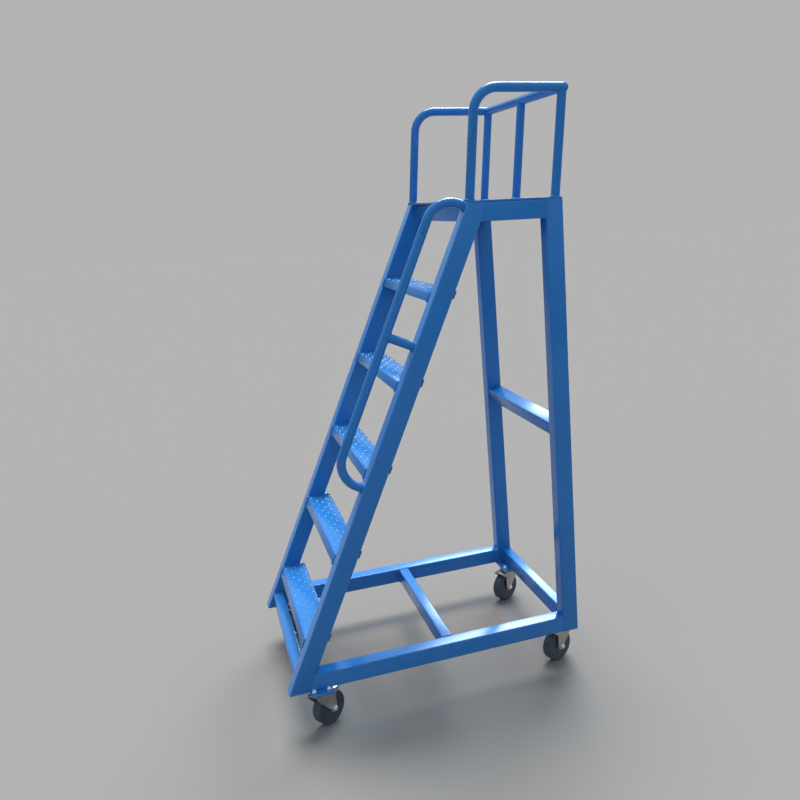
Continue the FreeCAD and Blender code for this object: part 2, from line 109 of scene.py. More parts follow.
# how a mesh is cleaned
SAME_PLACE = 0.00001        # points closer than this are one
FLAT_WITHIN = 1.0           # degrees between triangles that are joined up
SOFTENED_FROM = 40          # edges sharper than this are broken, degrees
BUTTON_SOFTENED_FROM = 30
FACES_ALONG = 0.9           # a disc's end faces, from the cosine of their tilt
# smoothing angles, degrees
SQUARE_TUBE_SMOOTH = 30
PART_SMOOTH = 35
ROUND_SMOOTH = 40
BALL_SMOOTH = 60


def lowest(node):
    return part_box(node)[0]


def highest(node):
    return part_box(node)[1]


def middle(node):
    return (Vector(lowest(node)) + Vector(highest(node))) / 2


# ------------------------------------------------------------------ shader groups
SCRATCH_WAYS = ((0.5, (1.0, 14.0, 1.0)), (-0.9, (12.0, 1.0, 2.0)))      # turn and stretch


def new_group(name, inputs, outputs):
    """An empty node group with named sockets, and its two end nodes."""
    group = bpy.data.node_groups.new(name, "ShaderNodeTree")
    for label, kind, value in inputs:
        socket = group.interface.new_socket(label, in_out="INPUT", socket_type=kind)
        socket.default_value = value
    for label, kind in outputs:
        group.interface.new_socket(label, in_out="OUTPUT", socket_type=kind)
    return group, group.nodes.new("NodeGroupInput"), group.nodes.new("NodeGroupOutput")


def node(tree, kind, links=(), **settings):
    """A node with its settings, and links into it as (socket name, source socket)."""
    made = tree.nodes.new(kind)
    for key, value in settings.items():
        setattr(made, key, value)
    for socket, source in links:
        if hasattr(source, "is_output"):
            tree.links.new(source, made.inputs[socket])
        else:
            made.inputs[socket].default_value = source
    return made


def object_place(tree):
    return node(tree, "ShaderNodeTexCoord").outputs["Object"]


def shade_drift_group():
    """Slow drift of a coat's shade, and a slight lift where the film is thin."""
    group, start, end = new_group(
        "shade_drift",
        [("Colour", "NodeSocketColor", (0.5, 0.5, 0.5, 1)),
         ("Light Colour", "NodeSocketColor", (0.6, 0.6, 0.6, 1)),
         ("Scale", "NodeSocketFloat", 6.0), ("Amount", "NodeSocketFloat", 0.3)],
        [("Colour", "NodeSocketColor"), ("Mask", "NodeSocketFloat")])
    place = object_place(group)
    slow = node(group, "ShaderNodeTexNoise", [("Vector", place), ("Scale", start.outputs["Scale"]),
                                              ("Detail", 4.0), ("Roughness", 0.55)])
    ramp = node(group, "ShaderNodeMapRange", [("Value", slow.outputs["Fac"]), ("From Min", 0.35),
                                              ("From Max", 0.7), ("To Min", 0.0)])
    group.links.new(start.outputs["Amount"], ramp.inputs["To Max"])
    mix = node(group, "ShaderNodeMix", data_type="RGBA")
    group.links.new(ramp.outputs["Result"], mix.inputs["Factor"])
    group.links.new(start.outputs["Colour"], mix.inputs[6])
    group.links.new(start.outputs["Light Colour"], mix.inputs[7])
    group.links.new(mix.outputs[2], end.inputs["Colour"])
    group.links.new(ramp.outputs["Result"], end.inputs["Mask"])
    return group


def fine_scratch_group():
    """Mask of thin hairline scratches in two directions, broken up by noise."""
    group, start, end = new_group(
        "fine_scratches",
        [("Scale", "NodeSocketFloat", 40.0), ("Threshold", "NodeSocketFloat", 0.66)],
        [("Mask", "NodeSocketFloat")])
    place = object_place(group)
    masks = []
    for turn, stretch in SCRATCH_WAYS:
        mapping = node(group, "ShaderNodeMapping", [("Vector", place), ("Rotation", (turn, turn / 2, turn)),
                                                    ("Scale", stretch)])
        streak = node(group, "ShaderNodeTexNoise", [("Vector", mapping.outputs["Vector"]),
                                                    ("Scale", start.outputs["Scale"]), ("Detail", 2.0)])
        over = node(group, "ShaderNodeMapRange", [("Value", streak.outputs["Fac"]),
                                                  ("From Min", start.outputs["Threshold"]),
                                                  ("From Max", 0.8)])
        masks.append(over.outputs["Result"])
    both = node(group, "ShaderNodeMath", [(0, masks[0]), (1, masks[1])], operation="MAXIMUM")
    group.links.new(both.outputs["Value"], end.inputs["Mask"])
    return group


def relief_group():
    """Fine surface relief: a broad ripple and a small grain, added."""
    group, start, end = new_group(
        "fine_relief",
        [("Ripple Scale", "NodeSocketFloat", 60.0), ("Grain Scale", "NodeSocketFloat", 700.0),
         ("Grain Share", "NodeSocketFloat", 0.3)],
        [("Height", "NodeSocketFloat")])
    place = object_place(group)
    ripple = node(group, "ShaderNodeTexNoise", [("Vector", place), ("Scale", start.outputs["Ripple Scale"]),
                                                ("Detail", 2.0)])
    grain = node(group, "ShaderNodeTexNoise", [("Vector", place), ("Scale", start.outputs["Grain Scale"]),
                                               ("Detail", 3.0)])
    scaled = node(group, "ShaderNodeMath", [(0, grain.outputs["Fac"]), (1, start.outputs["Grain Share"])],
                  operation="MULTIPLY")
    total = node(group, "ShaderNodeMath", [(0, ripple.outputs["Fac"]), (1, scaled.outputs["Value"])],
                 operation="ADD")
    group.links.new(total.outputs["Value"], end.inputs["Height"])
    return group


def dust_group():
    """Mask of dust and dirt: patchy everywhere, more of it low down."""
    group, start, end = new_group(
        "settled_dust",
        [("Scale", "NodeSocketFloat", 20.0), ("Low Height", "NodeSocketFloat", 0.0),
         ("High Height", "NodeSocketFloat", 0.3), ("Amount", "NodeSocketFloat", 0.5)],
        [("Mask", "NodeSocketFloat")])
    place = object_place(group)
    split = node(group, "ShaderNodeSeparateXYZ", [("Vector", place)])
    fall = node(group, "ShaderNodeMapRange", [("Value", split.outputs["Z"]),
                                              ("From Min", start.outputs["High Height"]),
                                              ("From Max", start.outputs["Low Height"])])
    patches = node(group, "ShaderNodeTexNoise", [("Vector", place), ("Scale", start.outputs["Scale"]),
                                                 ("Detail", 6.0), ("Roughness", 0.65)])
    patch = node(group, "ShaderNodeMapRange", [("Value", patches.outputs["Fac"]), ("From Min", 0.42),
                                               ("From Max", 0.72)])
    lifted = node(group, "ShaderNodeMath", [(0, fall.outputs["Result"]), (1, patch.outputs["Result"])],
                  operation="MULTIPLY")
    scaled = node(group, "ShaderNodeMath", [(0, lifted.outputs["Value"]), (1, start.outputs["Amount"])],
                  operation="MULTIPLY")
    group.links.new(scaled.outputs["Value"], end.inputs["Mask"])
    return group


SHADE_DRIFT = shade_drift_group()
SCRATCHES = fine_scratch_group()
RELIEF = relief_group()
DUST = dust_group()


# ------------------------------------------------------------------ materials
def placed_group(tree, group, **values):
    made = tree.nodes.new("ShaderNodeGroup")
    made.node_tree = group
    for label, value in values.items():
        made.inputs[label.replace("_", " ")].default_value = value
    return made


def mixed_colour(tree, factor, first, second):
    mix = node(tree, "ShaderNodeMix", data_type="RGBA")
    tree.links.new(factor, mix.inputs["Factor"])
    tree.links.new(first, mix.inputs[6])
    mix.inputs[7].default_value = second
    return mix.outputs[2]


def remapped(tree, value, low, high):
    made = node(tree, "ShaderNodeMapRange", [("Value", value), ("To Min", low), ("To Max", high)])
    return made.outputs["Result"]


def coat_material(name, colour, light, drift, rough, worn_rough, relief, bump, dust, shader):
    """A surface with drifting shade, hairline scratches, fine relief and settled dust."""
    material = bpy.data.materials.new(name)
    material.use_nodes = True
    tree = material.node_tree
    surface = tree.nodes["Principled BSDF"]
    shade = placed_group(tree, SHADE_DRIFT, Colour=colour, Light_Colour=light, **drift)
    dirt = placed_group(tree, DUST, **dust["mask"])
    tree.links.new(mixed_colour(tree, dirt.outputs["Mask"], shade.outputs["Colour"], dust["colour"]),
                   surface.inputs["Base Color"])
    scratch = placed_group(tree, SCRATCHES)
    marks = node(tree, "ShaderNodeMath", [(0, scratch.outputs["Mask"]), (1, dirt.outputs["Mask"])],
                 operation="MAXIMUM")
    tree.links.new(remapped(tree, marks.outputs["Value"], rough, worn_rough), surface.inputs["Roughness"])
    height = placed_group(tree, RELIEF, **relief)
    lift = node(tree, "ShaderNodeBump", [("Height", height.outputs["Height"]),
                                         ("Strength", bump["Strength"]), ("Distance", bump["Distance"])])
    tree.links.new(lift.outputs["Normal"], surface.inputs["Normal"])
    for socket, value in shader.items():
        surface.inputs[socket].default_value = value
    return material


PAINT = coat_material(
    "gloss_blue_paint", colour=(0.018, 0.160, 0.470, 1), light=(0.020, 0.185, 0.530, 1),
    drift={"Scale": 5.0, "Amount": 0.8}, rough=0.20, worn_rough=0.42,
    relief={"Ripple_Scale": 90.0, "Grain_Scale": 620.0, "Grain_Share": 0.25},
    bump={"Strength": 0.12, "Distance": 0.0006},
    dust={"colour": (0.16, 0.22, 0.30, 1),
          "mask": {"Scale": 24.0, "Low_Height": 0.1, "High_Height": 0.5, "Amount": 0.18}},
    shader={"Coat Weight": 0.05, "Coat Roughness": 0.06, "Specular IOR Level": 0.32})
ZINC = coat_material(
    "zinc_plated_steel", colour=(0.36, 0.34, 0.30, 1), light=(0.52, 0.50, 0.46, 1),
    drift={"Scale": 60.0, "Amount": 1.0}, rough=0.34, worn_rough=0.55,
    relief={"Ripple_Scale": 160.0, "Grain_Scale": 900.0, "Grain_Share": 0.5},
    bump={"Strength": 0.15, "Distance": 0.0005},
    dust={"colour": (0.16, 0.15, 0.13, 1),
          "mask": {"Scale": 60.0, "Low_Height": 0.0, "High_Height": 0.16, "Amount": 0.45}},
    shader={"Metallic": 0.85})
BRIGHT_ZINC = coat_material(
    "bright_zinc_fasteners", colour=(0.84, 0.87, 0.87, 1), light=(0.92, 0.94, 0.93, 1),
    drift={"Scale": 110.0, "Amount": 1.0}, rough=0.22, worn_rough=0.40,
    relief={"Ripple_Scale": 300.0, "Grain_Scale": 1300.0, "Grain_Share": 0.5},
    bump={"Strength": 0.12, "Distance": 0.0003},
    dust={"colour": (0.20, 0.19, 0.17, 1),
          "mask": {"Scale": 90.0, "Low_Height": 0.0, "High_Height": 0.14, "Amount": 0.12}},
    shader={"Metallic": 0.70})
RUBBER = coat_material(
    "dark_wheel_rubber", colour=(0.040, 0.052, 0.072, 1), light=(0.055, 0.068, 0.090, 1),
    drift={"Scale": 30.0, "Amount": 0.8}, rough=0.48, worn_rough=0.72,
    relief={"Ripple_Scale": 220.0, "Grain_Scale": 1500.0, "Grain_Share": 0.7},
    bump={"Strength": 0.25, "Distance": 0.0005},
    dust={"colour": (0.13, 0.125, 0.12, 1),
          "mask": {"Scale": 70.0, "Low_Height": -0.02, "High_Height": 0.08, "Amount": 0.55}},
    shader={"Specular IOR Level": 0.4})
WHEEL_PLASTIC = coat_material(
    "wheel_centre_plastic", colour=(0.045, 0.055, 0.074, 1), light=(0.062, 0.072, 0.092, 1),
    drift={"Scale": 40.0, "Amount": 0.7}, rough=0.38, worn_rough=0.60,
    relief={"Ripple_Scale": 140.0, "Grain_Scale": 1100.0, "Grain_Share": 0.6},
    bump={"Strength": 0.18, "Distance": 0.0004},
    dust={"colour": (0.12, 0.115, 0.11, 1),
          "mask": {"Scale": 60.0, "Low_Height": 0.0, "High_Height": 0.1, "Amount": 0.35}},
    shader={"Specular IOR Level": 0.45})
SLOTS = {"blue_paint": PAINT, "zinc_steel": ZINC, "tyre_rubber": RUBBER,
         "wheel_centre_plastic": WHEEL_PLASTIC}


# ------------------------------------------------------------------ modelling helpers
def deselect():
    if bpy.context.object and bpy.context.object.mode != "OBJECT":
        bpy.ops.object.mode_set(mode="OBJECT")
    bpy.ops.object.select_all(action="DESELECT")


def choose(piece):
    deselect()
    piece.select_set(True)
    bpy.context.view_layer.objects.active = piece


def open_edit(piece, action="SELECT", kind=None):
    """Opens the piece's mesh, with all of it or nothing selected."""
    choose(piece)
    bpy.ops.object.mode_set(mode="EDIT")
    if kind:
        bpy.ops.mesh.select_mode(type=kind)
    bpy.ops.mesh.select_all(action=action)


def close_edit():
    bpy.ops.object.mode_set(mode="OBJECT")


def settle(piece):
    """Puts the piece's place into its mesh."""
    choose(piece)
    bpy.ops.object.transform_apply(location=True, rotation=True, scale=True)


def apply_modifier(piece, kind, **settings):
    choose(piece)
    modifier = piece.modifiers.new(kind.lower(), kind)
    for key, value in settings.items():
        setattr(modifier, key, value)
    bpy.ops.object.modifier_apply(modifier=modifier.name)


def finish_piece(piece, name, body, material, angle):
    """Name, body, slot and material of a new piece, and its smooth shading."""
    piece.name = name
    piece.data.name = name
    choose(piece)
    bpy.ops.object.shade_smooth_by_angle(angle=math.radians(angle))
    piece.data.materials.clear()
    piece.data.materials.append(material)
    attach(piece, body)
    return piece


def refined(node_name, name, body, material, softening, angle):
    """The CAD piece again, with its loose triangles joined up and its edges softened."""
    source = frame["nodes"][node_name]
    piece = bpy.data.objects.new(name, source.data.copy())
    bpy.context.scene.collection.objects.link(piece)
    open_edit(piece)
    bpy.ops.mesh.remove_doubles(threshold=SAME_PLACE)
    if softening:
        bpy.ops.mesh.dissolve_limited(angle_limit=math.radians(FLAT_WITHIN))
    close_edit()
    if softening:
        apply_modifier(piece, "BEVEL", width=softening, segments=2, limit_method="ANGLE",
                       angle_limit=math.radians(SOFTENED_FROM), harden_normals=False, use_clamp_overlap=True)
    finish_piece(piece, name, body, material, angle)
    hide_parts(node_name)
    return piece


def joined(pieces):
    deselect()
    for piece in pieces:
        piece.select_set(True)
    bpy.context.view_layer.objects.active = pieces[0]
    bpy.ops.object.join()
    return bpy.context.view_layer.objects.active


# ------------------------------------------------------------------ weld beads
def bead_run(start, end):
    """A straight weld: flattened drops laid one over the next along a line."""
    span = end - start
    steps = max(2, int(span.length / BEAD_STEP))
    bpy.ops.mesh.primitive_uv_sphere_add(segments=DROP_SIDES, ring_count=DROP_RINGS, radius=BEAD,
                                         location=(0, 0, 0))
    drop = bpy.context.active_object
    drop.scale = (1.0, 1.0, BEAD_FLATTENING)
    settle(drop)
    apply_modifier(drop, "ARRAY", count=steps, use_relative_offset=False, use_constant_offset=True,
                   constant_offset_displace=(0, 0, span.length / steps))
    drop.rotation_mode = "QUATERNION"
    drop.rotation_quaternion = span.to_track_quat("Z", "Y")
    drop.location = start
    settle(drop)
    return drop


def bead_ring(centre, axis, radius, thick=FOOT_RING, lift=None, stretch=1.0):
    """A weld round a tube: a ring whose thickness swells from drop to drop.

    lift(x, y) raises it along the axis where it follows a rounded seam, and stretch makes it an ellipse.
    """
    drops = int(2 * math.pi * radius / BEAD_STEP)
    bpy.ops.mesh.primitive_torus_add(major_segments=3 * drops, minor_segments=RING_SIDES,
                                     major_radius=radius, minor_radius=BEAD * thick, location=(0, 0, 0))
    ring = bpy.context.active_object
    for index, vertex in enumerate(ring.data.vertices):
        wave = math.cos(2 * math.pi * (index // RING_SIDES) / 3)
        swell = 1.0 + RING_SWELL * wave + random.uniform(-RING_UNEVENNESS, RING_UNEVENNESS)
        flat = Vector((vertex.co.x, vertex.co.y, 0.0)).normalized() * radius
        seam = Vector((flat.x * stretch, flat.y, lift(flat.x, flat.y) if lift else 0.0))
        vertex.co = seam + (vertex.co - flat) * swell
    ring.rotation_mode = "QUATERNION"
    ring.rotation_quaternion = axis.to_track_quat("Z", "Y")
    ring.location = centre
    settle(ring)
    return ring


def bead_loop(points, closed=True):
    ends = points[1:] + points[:1] if closed else points[1:]
    return [bead_run(Vector(a), Vector(b)) for a, b in zip(points, ends)]


def finish_beads(runs, name):
    return finish_piece(joined(runs), name, FRAME_BODY, PAINT, BALL_SMOOTH)


# ------------------------------------------------------------------ sizes read from the frame
LEG_LOW, LEG_HIGH = (Vector(corner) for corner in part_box("rear_leg_right"))
STRINGER_LOW, STRINGER_HIGH = (Vector(corner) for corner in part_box("stringer_right"))
BASE = LEG_LOW.z
FRAME_TOP = LEG_HIGH.z
PLATFORM_TOP = highest("platform_plate")[2]
INNER = LEG_LOW.x
OUTER = LEG_HIGH.x
RAIL_X = (INNER + OUTER) / 2
TUBE_RADIUS = (highest("guard_rear_rail")[1] - lowest("guard_rear_rail")[1]) / 2
FOOT_Y = STRINGER_LOW.y
RUN = STRINGER_HIGH.y - lowest("platform_plate")[1] + PLATE_INSET     # stringer's depth, level
SLOPE = (STRINGER_HIGH.y - RUN - FOOT_Y) / (FRAME_TOP - BASE)
STAIR = Vector((0, SLOPE, 1)).normalized()
OUTWARD = Vector((0, -STAIR.z, STAIR.y))


def front_y(z):
    return FOOT_Y + (z - BASE) * SLOPE


def carried(node_name, softening, angle=PART_SMOOTH, material=None, slot_name="blue_paint",
            body=FRAME_BODY):
    """The CAD piece on its own body, with the slot's material unless another is given."""
    name = node_name + "_finished"
    return refined(node_name, name, body, material or SLOTS[slot_name], softening, angle)


# ------------------------------------------------------------------ tube frame and treads
def make_tube_frame():
    for side in ("left", "right"):
        for part in ("stringer", "rear_leg", "base_side_rail", "top_side_rail"):
            carried("%s_%s" % (part, side), TUBE_EDGE, SQUARE_TUBE_SMOOTH)
    for bar in ("base_front_bar", "base_middle_bar", "base_rear_bar", "rear_mid_bar",
                "platform_front_beam", "platform_rear_beam"):
        carried(bar, TUBE_EDGE, SQUARE_TUBE_SMOOTH)
    carried("platform_plate", PLATFORM_EDGE)


def make_tread(number):
    """The folded sheet, and rows of raised grip buttons, every other row shifted by half a pitch."""
    name = "tread_%d" % number
    carried(name, TREAD_EDGE, SQUARE_TUBE_SMOOTH)
    low, high = Vector(lowest(name)), Vector(highest(name))
    front = front_y(high.z)
    row_step = (high.y - front - 2 * ROW_MARGIN) / (BUTTON_ROWS - 1)
    rows = []
    for row in range(BUTTON_ROWS):
        shift = BUTTON_PITCH / 2 if row % 2 else 0.0
        count = int((high.x - low.x - BUTTON_END_ROOM - shift) / BUTTON_PITCH)
        place = (low.x + BUTTON_INSET + shift, front + ROW_MARGIN + row * row_step,
                 high.z + (BUTTON_RISE - BUTTON_ROOT) / 2)
        bpy.ops.mesh.primitive_cone_add(vertices=BUTTON_SIDES, radius1=BUTTON, radius2=BUTTON_CROWN,
                                        depth=BUTTON_RISE + BUTTON_ROOT, location=place)
        button = bpy.context.active_object
        settle(button)
        apply_modifier(button, "BEVEL", width=BUTTON_EDGE, segments=2, limit_method="ANGLE",
                       angle_limit=math.radians(BUTTON_SOFTENED_FROM))
        apply_modifier(button, "ARRAY", count=count, use_relative_offset=False, use_constant_offset=True,
                       constant_offset_displace=(BUTTON_PITCH, 0, 0))
        rows.append(button)
    finish_piece(joined(rows), name + "_grip_buttons", FRAME_BODY, PAINT, ROUND_SMOOTH)


def tread_welds(number):
    """Beads where the tread's sheet meets the stringers: along the top and down the front fold."""
    name = "tread_%d" % number
    low, high = Vector(lowest(name)), Vector(highest(name))
    drop = high.z - low.z
    runs = []
    for x in (-INNER, INNER):
        seam = x + math.copysign(TREAD_BEAD_OUT, -x)
        front = front_y(high.z)
        top = high.z - TREAD_BEAD_DOWN
        runs += bead_loop([(seam, front - drop * SLOPE, low.z), (seam, front, top),
                           (seam, high.y - TREAD_BEAD_SHORT, top)], closed=False)
    finish_beads(runs, name + "_welds")


# ------------------------------------------------------------------ welds of the square frame
def bar_welds(bar):
    """A bead all round each end of a cross bar."""
    low, high = Vector(lowest(bar)), Vector(highest(bar))
    front, rear = low.y + BAR_BEAD_SUNK, high.y - BAR_BEAD_SUNK
    bottom, top = low.z + BAR_BEAD_SUNK, high.z - BAR_BEAD_SUNK
    runs = []
    for x in (low.x, high.x):
        seam = x + math.copysign(BAR_BEAD_OUT, -x)
        runs += bead_loop([(seam, front, bottom), (seam, rear, bottom), (seam, rear, top),
                           (seam, front, top)])
    finish_beads(runs, bar + "_welds")


def rail_welds(rail, side):
    """Beads where a side rail meets the stringer's rear face and the leg's front face."""
    low, high = Vector(lowest(rail)), Vector(highest(rail))
    outer = math.copysign(OUTER - RAIL_BEAD_SUNK, side)
    inner = math.copysign(INNER + RAIL_BEAD_SUNK, side)
    lower, upper = low.z + RAIL_BEAD_SUNK, high.z - RAIL_BEAD_SUNK
    runs = bead_loop([(outer, LEG_LOW.y, lower), (outer, LEG_LOW.y, upper), (inner, LEG_LOW.y, upper),
                      (inner, LEG_LOW.y, lower)])
    seam_low, seam_high = front_y(lower) + RUN, front_y(upper) + RUN
    runs += bead_loop([(outer, seam_low, lower), (outer, seam_high, upper), (inner, seam_high, upper),
                       (inner, seam_low, lower)])
    finish_beads(runs, rail + "_welds")


def make_frame_welds():
    for bar in ("base_front_bar", "base_middle_bar", "base_rear_bar", "platform_front_beam",
                "platform_rear_beam"):
        bar_welds(bar)
    for side, name in ((-1, "left"), (1, "right")):
        rail_welds("base_side_rail_" + name, side)
        rail_welds("top_side_rail_" + name, side)


# ------------------------------------------------------------------ guard rail and handrail
def round_post(node_name, foot, head, below=0.0):
    """A straight round tube whose head runs into a rail.

    below is spare length, which is cut off level at the foot.
    """
    way = head - foot
    length = way.length + below
    bpy.ops.mesh.primitive_cylinder_add(vertices=ROUND_TUBE_SIDES, radius=TUBE_RADIUS, depth=length,
                                        location=(0, 0, 0))
    piece = bpy.context.active_object
    piece.rotation_mode = "QUATERNION"
    piece.rotation_quaternion = way.to_track_quat("Z", "Y")
    piece.location = head - way.normalized() * (length / 2)
    settle(piece)
    if below:
        open_edit(piece)
        bpy.ops.mesh.bisect(plane_co=foot, plane_no=(0, 0, 1), use_fill=True, clear_inner=True)
        close_edit()
    finish_piece(piece, node_name + "_finished", FRAME_BODY, PAINT, ROUND_SMOOTH)
    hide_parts(node_name)


def make_round_rails():
    """Round tubes with a weld at every joint."""
    rings = []
    up, along = Vector((0, 0, 1)), Vector((0, 1, 0))
    base_ring = TUBE_RADIUS + POST_SPREAD
    joint_ring = TUBE_RADIUS - JOINT_SUNK
    corner = middle("guard_rear_rail")
    middle_low, middle_high = (Vector(end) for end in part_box("guard_rear_post_middle"))
    post_run = middle_high.y - middle_low.y - 2 * TUBE_RADIUS
    lean = Vector((0, post_run, middle_high.z - middle_low.z)).normalized()
    height = (corner.z - PLATFORM_TOP) / lean.z

    def rear_post(name, x, lift):
        foot = Vector((x, middle_low.y + TUBE_RADIUS, PLATFORM_TOP))
        round_post("guard_rear_post_" + name, foot, foot + lean * height, TUBE_RADIUS)
        rings.append(bead_ring(foot + up * RING_LIFT, up, base_ring))
        rings.append(bead_ring(foot + lean * (height - TUBE_RADIUS), lean, TUBE_RADIUS, SADDLE_RING, lift))

    for side, sign in (("left", -1), ("right", 1)):
        x = sign * RAIL_X
        for part in ("guard_front_post", "guard_bend", "guard_side_rail"):
            carried("%s_%s" % (part, side), 0.0, ROUND_SMOOTH)
        post_low, post_high = (Vector(end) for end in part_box("guard_front_post_" + side))
        foot = Vector((x, post_low.y + TUBE_RADIUS, PLATFORM_TOP))
        rings.append(bead_ring(foot + up * RING_LIFT, up, base_ring))
        head = Vector((x, post_high.y - TUBE_RADIUS, post_high.z - TUBE_RADIUS * lean.y))
        rings.append(bead_ring(head, lean, joint_ring, JOINT_RING))
        start = Vector((x, lowest("guard_side_rail_" + side)[1], corner.z))
        rings.append(bead_ring(start, along, joint_ring, JOINT_RING))
        rings.append(bead_ring(Vector((x, corner.y, corner.z)), Vector((sign, -1, 0)),
                               TUBE_RADIUS - MITRE_SUNK, SADDLE_RING, stretch=SADDLE_STRETCH))
        rear_post(side, x, lambda a, b: TUBE_RADIUS - (abs(b) if b > sign * a else abs(a)))
    rear_post("middle", 0.0, lambda a, b: TUBE_RADIUS - abs(a))
    carried("guard_rear_rail", 0.0, ROUND_SMOOTH)
    finish_beads(rings, "guard_rail_welds")


def make_handrail():
    """The bent tube beside the right stringer, its strut, and their welds."""
    for part in ("handrail_upper_bend", "handrail_grab_tube", "handrail_lower_bend"):
        carried(part, 0.0, ROUND_SMOOTH)
    grab = middle("handrail_grab_tube")
    rings = []
    half_grab = (highest("handrail_grab_tube")[2] - lowest("handrail_grab_tube")[2]) / 2
    half_grab = (half_grab - TUBE_RADIUS * STAIR.y) / STAIR.z
    for sign in (-1, 1):
        rings.append(bead_ring(grab + STAIR * sign * half_grab, STAIR, TUBE_RADIUS - JOINT_SUNK, JOINT_RING))
    top_face = Vector((RAIL_X, front_y(FRAME_TOP), FRAME_TOP)) - STAIR * (TUBE_RADIUS - END_SUNK)
    low_end = lowest("handrail_lower_bend")[2] + TUBE_RADIUS * STAIR.z
    low_face = Vector((RAIL_X, front_y(low_end), low_end))
    strut_foot_z = lowest("handrail_strut")[2] + TUBE_RADIUS * STAIR.z
    strut_face = Vector((RAIL_X, front_y(strut_foot_z), strut_foot_z))
    for face in (top_face, low_face, strut_face):
        rings.append(bead_ring(face + OUTWARD * RING_LIFT, OUTWARD, TUBE_RADIUS + STRINGER_SPREAD))
    out = (grab - strut_face).dot(OUTWARD)
    round_post("handrail_strut", strut_face, strut_face + OUTWARD * out)
    rings.append(bead_ring(strut_face + OUTWARD * (out - TUBE_RADIUS), OUTWARD, TUBE_RADIUS, SADDLE_RING,
                           lambda a, b: TUBE_RADIUS - abs(b)))
    finish_beads(rings, "handrail_welds")


# ------------------------------------------------------------------ casters
def make_caster_fixings():
    carried("caster_mounting_pads", PAD_EDGE)
    carried("caster_top_plates", TOP_PLATE_EDGE, slot_name="zinc_steel")
    carried("caster_kingpins", KINGPIN_EDGE, slot_name="zinc_steel")
    carried("caster_ball_rings", 0.0, BALL_SMOOTH, slot_name="zinc_steel")
    carried("caster_plate_bolts", FASTENER_EDGE, material=BRIGHT_ZINC, slot_name="zinc_steel")
    carried("caster_plate_nuts", FASTENER_EDGE, material=BRIGHT_ZINC, slot_name="zinc_steel")


def cap_steps(piece, steps):
    """Insets both flat ends of a disc and moves each new ring in or out along its own normal."""
    open_edit(piece, "DESELECT", "FACE")
    close_edit()
    for face in piece.data.polygons:
        face.select = abs(face.normal.z) > FACES_ALONG
    bpy.ops.object.mode_set(mode="EDIT")
    for inward, push in steps:
        bpy.ops.mesh.inset(thickness=inward, depth=0, use_individual=True)
        if push:
            bpy.ops.transform.shrink_fatten(value=push)


def stand_on_axle(piece, corner):
    """Turns a piece made about Z on to this caster's axle and moves it to the wheel's middle."""
    joint = next(j for j in frame["joints"] if j["name"] == "roll_" + corner)
    piece.rotation_mode = "QUATERNION"
    piece.rotation_quaternion = Vector(joint["axis"]).to_track_quat("Z", "Y")
    piece.location = Vector(joint["pos_m"])
    settle(piece)


def make_tyre(corner):
    """Rubber tyre: rounded shoulders, a mould ring on each side, and an opening for the wheel centre."""
    low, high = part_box("tyre_" + corner)
    radius = (high[2] - low[2]) / 2
    bpy.ops.mesh.primitive_cylinder_add(vertices=TYRE_SIDES, radius=radius - TYRE_SHRINK, depth=TYRE_WIDTH,
                                        location=(0, 0, 0))
    tyre = bpy.context.active_object
    cap_steps(tyre, TYRE_SIDE_STEPS)
    bpy.ops.mesh.delete(type="FACE")
    close_edit()
    open_edit(tyre, "DESELECT", "EDGE")
    bpy.ops.mesh.select_non_manifold()
    bpy.ops.mesh.bridge_edge_loops()
    bpy.ops.mesh.select_all(action="SELECT")
    bpy.ops.mesh.normals_make_consistent(inside=False)
    close_edit()
    for width, segments, sharper_than in TYRE_BEVELS:
        apply_modifier(tyre, "BEVEL", width=width, segments=segments, limit_method="ANGLE",
                       angle_limit=math.radians(sharper_than))
    stand_on_axle(tyre, corner)
    finish_piece(tyre, "rubber_tyre_" + corner, "wheel_" + corner, RUBBER, ROUND_SMOOTH)
    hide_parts("tyre_" + corner)


def make_caster(corner):
    """One caster's fork and axle bolt on its swivelling body, wheel centre and tyre on its rolling one."""
    fork_body = "swivel_fork_" + corner
    carried("fork_" + corner, FORK_EDGE, slot_name="zinc_steel", body=fork_body)
    carried("axle_bolt_" + corner, FASTENER_EDGE, material=BRIGHT_ZINC, slot_name="zinc_steel",
            body=fork_body)
    carried("wheel_centre_" + corner, WHEEL_CENTRE_EDGE, slot_name="wheel_centre_plastic",
            body="wheel_" + corner)
    make_tyre(corner)


# ------------------------------------------------------------------ floor, light and camera
BACKDROP = (0.455, 0.455, 0.455, 1)
FLOOR = (0.233, 0.209, 0.196, 1)
FLOOR_ROUGHNESS = 0.95
FLOOR_SIZE = 60
FLOOR_DROP = 0.0005                 # keeps the floor just clear of the wheels
SKY_COLOUR = (0.70, 0.88, 1.0, 1)
SKY_HORIZON, SKY_TOP = 0.30, 0.85   # strength
SKY_TOP_HEIGHT = 0.45               # where the full strength is reached, as the direction's height
FAR_GLOW = (-0.72, 0.45, 0.53)      # where the sky is brightest
GLOW_EDGE, GLOW_CORE = 0.950, 0.975     # cosine of the angle from there
GLOW_STRENGTH = 14.0
LAMP_FROM = (-0.35, 0.10, 0.93)
LAMP_STRENGTH = 3.4
LAMP_SPREAD = 30                    # degrees
LAMP_COLOUR = (1.0, 0.98, 0.95)


def plain_material(name, colour, rough):
    material = bpy.data.materials.new(name)
    material.use_nodes = True
    surface = material.node_tree.nodes["Principled BSDF"]
    surface.inputs["Base Color"].default_value = colour
    surface.inputs["Roughness"].default_value = rough
    surface.inputs["Specular IOR Level"].default_value = 0.0
    return material


